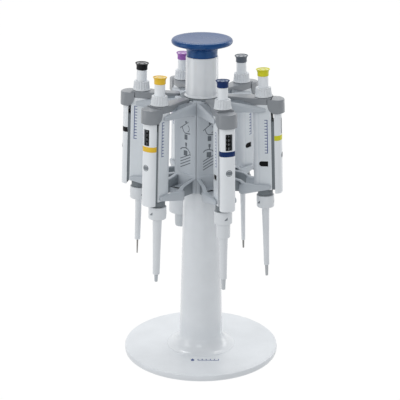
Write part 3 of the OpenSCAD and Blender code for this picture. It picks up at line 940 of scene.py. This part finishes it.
def rest_master():
    """Finger rest: cap of the handle, drawn out into the hook that hangs on the holder."""
    shape = [
        # x, half width, lower and upper z, edge radius
        (9.6, 9.55, REST_Z, 0.0, 0.9), (7, 9.6, REST_Z, 0.0, 1.0), (5.8, 9.6, REST_Z, 0.0, 1.0),
        (5.0, 10.35, REST_Z, 0.0, 1.0), (3.5, 10.5, REST_Z, 0.0, 1.0), (0, 10.5, REST_Z, 0.0, 1.0),
        (-4, 10.35, REST_Z, 0.0, 1.0), (-8, 10.0, REST_Z, 0.0, 1.1), (-11, 9.65, -7.7, 0.02, 1.3),
        (-13.5, 9.3, -7.3, 0.05, 1.5), (-16, 8.95, -6.3, 0.1, 1.5), (-19, 8.4, -5.0, 0.2, 1.4),
        (-24, 7.5, -3.6, 0.35, 1.2), (-30, 6.7, -3.1, 0.6, 1.0), (-36, 6.45, -2.8, 0.8, 0.9),
        (-41, 6.4, -2.5, 1.05, 0.9)
    ]
    stations = along(shape, 3)
    x, half, low, high, r = stations[-1]
    for k in range(1, 7):
        a = math.radians(15 * k)
        keep = max(math.cos(a), 0.02)
        stations.append((x - 5.3 * math.sin(a), half * keep, low + 0.7 * (1 - keep),
                         high - 0.5 * (1 - keep), r * max(keep, 0.5)))
    rings = []
    for x, half, low, high, r in stations:
        r = min(r, 0.48 * (high - low), 0.9 * half)
        lower = min(0.7, 0.45 * (high - low), 0.9 * half)
        section = arc(half - r, high - r, r, 0, 90, 5) + arc(r - half, high - r, r, 90, 180, 5)
        section += arc(lower - half, low + lower, lower, 180, 270, 4)
        section += arc(half - lower, low + lower, lower, 270, 360, 4)
        rings.append([(x, y, z) for y, z in section])
    body = skin("rest", rings, angle=50)
    under = REST_Z - 1
    bore = lathe("bore", [(0, under), (6.6, under), (6.6, -5), (7.76, -5), (7.76, 1), (0, 1)], steps=64)
    pit_place = Matrix.Translation((-11.2, -6.2, 0))
    pit = lathe("pit", [(0, -1.2), (0.55, -1.2), (0.55, 1), (0, 1)], pit_place, 16)
    return carve(body, bore, pit)


def thumb_master():
    """Ejector's thumb hood over the top of the front cover, with a wing on each side of the finger rest."""
    back, front, half, low, top = 10.3, 24.6, 11.0, -18.3, -1.5
    wing = 6.0

    def plan(shrink, side, start):
        r = front - 12.6 - shrink
        reach = math.degrees(math.asin((half - side) / r))
        return [(start, side - half)] + arc(12.6, 0, r, -reach, reach, 28) + [(start, half - side)]

    shell = slab("thumb", plan(0, 0, wing), low, top, edge=0.4, top_edge=1.3, steps=5, angle=50)
    for v in shell.data.vertices:
        if v.co.z > -6:
            v.co.z -= 0.07 * max(0, v.co.x - back)
    hollow = slab("hollow", plan(1.4, 0.9, back + 1.4), low - 1, -4.4, edge=0.1, steps=1)
    gap_y = half - 0.9
    room = slab("room", [(wing - 2, gap_y), (wing - 2, -gap_y), (back, -gap_y), (back, gap_y)],
                low - 1, 1, edge=0.1, steps=1)
    corner = rounded([(wing - 3, -5.5), (wing, -5.5), (wing + 0.1, -9), (wing + 1.4, -14.5, 7),
                      (12.5, low + 0.2, 3), (14, low - 3), (wing - 3, low - 3)], closed=True, steps=8)
    return carve(shell, hollow, room, prism_y("corner", corner, -half - 1, half + 1))


def push_rod_master():
    rod = lathe("push_rod", rounded([(0, COLLAR[1]), (1.22, COLLAR[1], 0.2), (1.22, -12, 0.2), (0, -12)]),
                Matrix.Translation((ROD_X, 0, 0)), 24)
    arm = rounded([(6.6, -1.3, 0.3), (11.0, -1.3, 0.3), (11.0, 1.3, 0.3), (6.6, 1.3, 0.3)], closed=True)
    return joined("push_rod", rod, slab("arm", arm, -18, -12, edge=0.2, steps=2))


def button_masters():
    """Coloured cap, its dished top and the stem with shaft and piston."""
    cap = lathe("cap", rounded([
        (0, 24.6), (6.3, 24.6), (6.6, 24.9, 0.2), (6.5, 28.4, 2.0), (7.0, 30.8, 2.0), (8.1, 32.0, 0.5),
        (8.0, 32.5, 0.25), (7.4, 32.45, 0.25), (6.6, 31.75, 0.3), (0, 31.35)
    ], steps=6), steps=64, angle=60)
    dish = lathe("dish", [(0, 31.42), (3, 31.5), (6.4, 31.78), (6.45, 31.6), (0, 31.3)], steps=48)
    stem = lathe("stem", rounded([
        (0, -117), (1, -117, 0.3), (1, -95), (2.2, -95, 0.2), (2.2, 3), (6.0, 3, 0.2), (6.0, 24.0, 0.3),
        (5.75, 24.6), (0, 24.6)
    ]), steps=56)
    return cap, dish, stem


def ring_master():
    """Knurled ring with a spigot below, turned to set the volume."""
    ribs = 18
    low_r, top_r, high = 10.3, 9.0, 11.0

    def knurl(angle, r, z):
        if r < 8.2 or z < 1.0:
            return 0
        wave = 0.5 - 0.5 * math.cos(ribs * angle)
        fade = ease((z - 1.8) / 1.2) * ease((10.85 - z) / 0.6)
        return -0.85 * fade * wave ** 1.8

    outline = [(6.4, -4.6), (7.7, -4.6), (7.7, 0.4), (low_r - 0.35, 0.4), (low_r, 0.75)]
    for z in (1.8, 2.2, 2.6, 3.0, 4.5, 6, 7.5, 9, 9.8, 10.3):
        outline.append((low_r - (low_r - top_r) * z / high - 0.25 * math.sin(math.pi * z / high), z))
    outline += [(top_r - 0.12, 10.65), (top_r - 0.45, 10.95), (top_r - 0.8, high), (6.55, high),
                (6.4, high - 0.2)]
    return lathe("ring", outline, steps=216, loop=True, shape=knurl, angle=42)


def sleeve_master(colour):
    top_d, end_d, end, nozzle_d, _ = MODELS[colour]
    low, high = COLLAR
    bore = nozzle_d / 2 + 0.25
    edge = 1.6
    corners = [(6.0, high), (COLLAR_R, high, 0.5), (COLLAR_R, low, edge)]
    if colour == "blue":
        begin = -151.7
        corners += [(8.1, low, 0.5), (7.9, begin, 1.2), (top_d / 2 + 0.2, begin, 0.6)]
    elif colour == "violet":
        bore = 14.0
        corners = [(6.0, high), (COLLAR_R, high, 0.5), (COLLAR_R, low + 0.2, 0.3), (11.5, low, 0.6),
                   (15.0, low - 1.2, 2.2)]
        begin = low - 2
    else:
        corners += [(top_d / 2 + 0.5, low, 0.8)]
        begin = low - 1.2
    count = 8
    for i in range(1 if colour in ("blue", "violet") else 0, count + 1):
        t = i / count
        r = top_d / 2 + (end_d - top_d) / 2 * t
        if colour != "violet":
            r -= 0.25 * math.sin(math.pi * t) * (top_d - end_d) / 4
        corners.append((r, begin + (-end - begin) * t, 0 if i < count else 0.35))
    corners.append((bore, -end))
    if colour == "violet":
        corners += [(bore, low - 4.2), (6.0, low - 2.2)]
    else:
        corners += [(bore, low + 2.0), (6.0, low + 2.0)]
    return lathe("sleeve", rounded(corners, closed=True), steps=64, loop=True, angle=40)


def lock_mark_master():
    """Small raised wedges around the collar."""
    def surface(angle, z, lift):
        a, r = math.radians(angle), COLLAR_R + lift
        return (r * math.cos(a), r * math.sin(a), z)

    marks = []
    for centre in (0, 130, 230):
        rings = []
        for i in range(5):
            a, z, half = centre - 10 + 5 * i, COLLAR[0] + 6 + 0.5 * i, 0.4 + 0.34 * i
            rings.append([surface(a, z + half, 0.1), surface(a, z - half, 0.1),
                          surface(a, z - half, -0.2), surface(a, z + half, -0.2)])
        marks.append(skin("mark", rings))
    return joined("lock_mark", *marks)


def nozzle_master(colour):
    """Tube inside the sleeve and the seat of the tip below it."""
    _, _, end, nozzle_d, nozzle_end = MODELS[colour]
    r = nozzle_d / 2
    way_r, room_r, room_end = 0.5, 1.35, -130.2     # the air way and the piston's room above it
    bore = [(way_r, room_end), (room_r, room_end), (room_r, BAND_LOW), (TUBE_R, BAND_LOW)]
    if colour == "violet":
        corners = bore + [(TUBE_R, -146), (12.4, -146, 0.5), (12.4, -164, 0.6), (r, -164, 0.4),
                          (r - 0.1, -188, 0.3), (r - 0.7, -nozzle_end, 0.3), (r - 1.6, -nozzle_end),
                          (r - 1.6, -nozzle_end + 10), (way_r, -nozzle_end + 10)]
    elif colour == "black":
        corners = bore + [(TUBE_R, TUBE_END), (1.1, TUBE_END), (1.1, -end + 0.4), (1.1, -end),
                          (0.72, -nozzle_end, 0.1), (0.4, -nozzle_end)]
    else:
        mouth = r * 0.78
        corners = bore + [(TUBE_R, TUBE_END), (r - 0.25, TUBE_END), (r - 0.25, -end + 0.5),
                          (r, -end, 0.1), (mouth, -nozzle_end, 0.35), (mouth * 0.6, -nozzle_end),
                          (mouth * 0.45, -nozzle_end + 4), (way_r, -nozzle_end + 8)]
    return lathe("nozzle", rounded(corners, closed=True), steps=56, loop=True, angle=45)


# ---- pipettes: placing ---------------------------------------------------

def build_pipettes(paint):
    button_cap, button_dish, stem = button_masters()
    housing, notch = housing_master(), notch_master()
    labels = [side_label_master(side) for side in (1, -1)]
    marks = [side_marks_master(side) for side in (1, -1)]
    cover, band, plug = cover_master(), colour_band_master(), plug_master()
    inner, counter = frame_master(), counter_master()
    rest, thumb, rod = rest_master(), thumb_master(), push_rod_master()
    ring, lock = ring_master(), lock_mark_master()
    for colour in COLOURS:
        at = pipette_frame(colour)
        grip, button = "pipette_" + colour, "operating_button_" + colour
        ejector, volume = "tip_ejector_" + colour, "volume_ring_" + colour
        sleeve, nozzle = sleeve_master(colour), nozzle_master(colour)
        figures = figures_master(READING[colour])

        def put(master, kind, body, finish, node=None):
            nodes = [f"{node}_{colour}"] if node else []
            stamp(master, f"{kind}_{colour}", at, body, paint[finish], nodes)

        put(button_cap, "button_cap", button, "button_" + colour, "button")
        put(button_dish, "button_dish", button, "dish_" + colour)
        put(stem, "button_stem", button, "handle_white", "button")
        put(ring, "volume_ring", volume, "ring_white", "ring")
        put(rest, "finger_rest", grip, "rest_grey", "rest")
        put(thumb, "ejector_thumb", ejector, "rest_grey", "ejector")
        put(rod, "ejector_rod", ejector, "rest_grey", "ejector")
        put(housing, "handle", grip, "handle_white", "housing")
        # painted shade: the slot's bottom plate is black
        put(notch, "notch", grip, "window_black_and_slot_shade")
        for side, label, mark in zip(("right", "left"), labels, marks):
            put(label, "label_" + side, grip, "label_tint")
            put(mark, "label_marks_" + side, grip, "print_blue")
        put(cover, "front_cover", grip, "handle_white", "cover")
        put(band, "colour_band", grip, "button_" + colour)
        put(plug, "plug", grip, "plug_grey")
        # painted shade: the frame's dark paint stands in for the shade in the gap between the handle's
        # halves
        put(inner, "inner_frame", grip, "core_dark", "core")
        put(counter, "counter", grip, "window_black_and_slot_shade", "core")
        put(figures, "counter_figures", grip, "digit_white")
        put(sleeve, "tip_sleeve", ejector, "sleeve_white", "sleeve")
        put(lock, "sleeve_marks", ejector, "plug_grey")
        put(nozzle, "nozzle", grip, "nozzle_" + colour, "core")
        discard(sleeve, nozzle, figures)
    discard(button_cap, button_dish, stem, housing, notch, *labels, *marks, cover, band, plug, inner,
            counter, rest, thumb, rod, ring, lock)


# ---- studio --------------------------------------------------------------

def area_light(name, place, aim, size, size_y, power):
    data = bpy.data.lights.new(name, "AREA")
    data.shape = "RECTANGLE"
    data.size = size
    data.size_y = size_y
    data.energy = power
    lamp = add_object(name, data)
    lamp.location = place
    lamp.rotation_euler = (Vector(aim) - Vector(place)).to_track_quat("-Z", "Y").to_euler()


def build_studio():
    world = bpy.data.worlds.new("studio")
    bpy.context.scene.world = world
    world.use_nodes = True
    back = world.node_tree.nodes["Background"]
    back.inputs["Color"].default_value = (0.95, 0.975, 1.0, 1)
    back.inputs["Strength"].default_value = 0.56
    centre = (0, 0, 0.22)
    area_light("overhead", (0.0, -0.05, 1.6), centre, 1.0, 0.9, 0.7)
    area_light("left", (-1.3, -0.35, 0.6), centre, 0.6, 1.3, 3.5)
    area_light("right_back", (1.1, 0.9, 0.6), centre, 0.5, 1.3, 3.4)
    area_light("front", (-0.3, -1.6, 1.3), centre, 0.7, 0.7, 3.3)
    area_light("back_top", (0.0, 0.9, 1.5), centre, 1.2, 0.5, 7.4)
    scene = bpy.context.scene
    scene.view_settings.view_transform = "Standard"
    scene.view_settings.look = "None"
    build_floor()


def build_floor():
    """White sweep, curved up behind the object; it shines by itself and lights nothing."""
    rows = []
    bend_y, bend_r = 2.5, 1.5
    path = [(-6, 0), (bend_y, 0)] + arc(bend_y, bend_r, bend_r, 270, 360, 9)[1:] + [(bend_y + bend_r, 6)]
    across = (-6, -3, 0, 3, 6)
    for y, z in path:
        rows.append([(x, y, z) for x in across])
    count = len(across)
    verts = [p for row in rows for p in row]
    faces = [(r * count + i, r * count + i + 1, (r + 1) * count + i + 1, (r + 1) * count + i)
             for r in range(len(rows) - 1) for i in range(count - 1)]
    sweep = finish_mesh("floor", verts, faces, angle=60)
    sweep.visible_diffuse = False
    paper = bpy.data.materials.new("paper")
    paper.use_nodes = True
    tree = paper.node_tree
    shader = tree.nodes["Principled BSDF"]
    shader.inputs["Base Color"].default_value = (0.02, 0.02, 0.02, 1)
    shader.inputs["Roughness"].default_value = 0.9
    shader.inputs["Specular IOR Level"].default_value = 0.0
    shader.inputs["Emission Strength"].default_value = 1.0
    noise = tree.nodes.new("ShaderNodeTexNoise")
    noise.inputs["Scale"].default_value = 600
    ramp = tree.nodes.new("ShaderNodeValToRGB")
    ramp.color_ramp.elements[0].color = (0.985, 0.985, 0.985, 1)
    ramp.color_ramp.elements[1].color = (1, 1, 1, 1)
    tree.links.new(noise.outputs["Fac"], ramp.inputs["Fac"])
    tree.links.new(ramp.outputs["Color"], shader.inputs["Emission Color"])
    sweep.data.materials.append(paper)


make_camera()
paints = mix_paints()
build_stand(paints)
build_carousel(paints)
build_pipettes(paints)
build_studio()
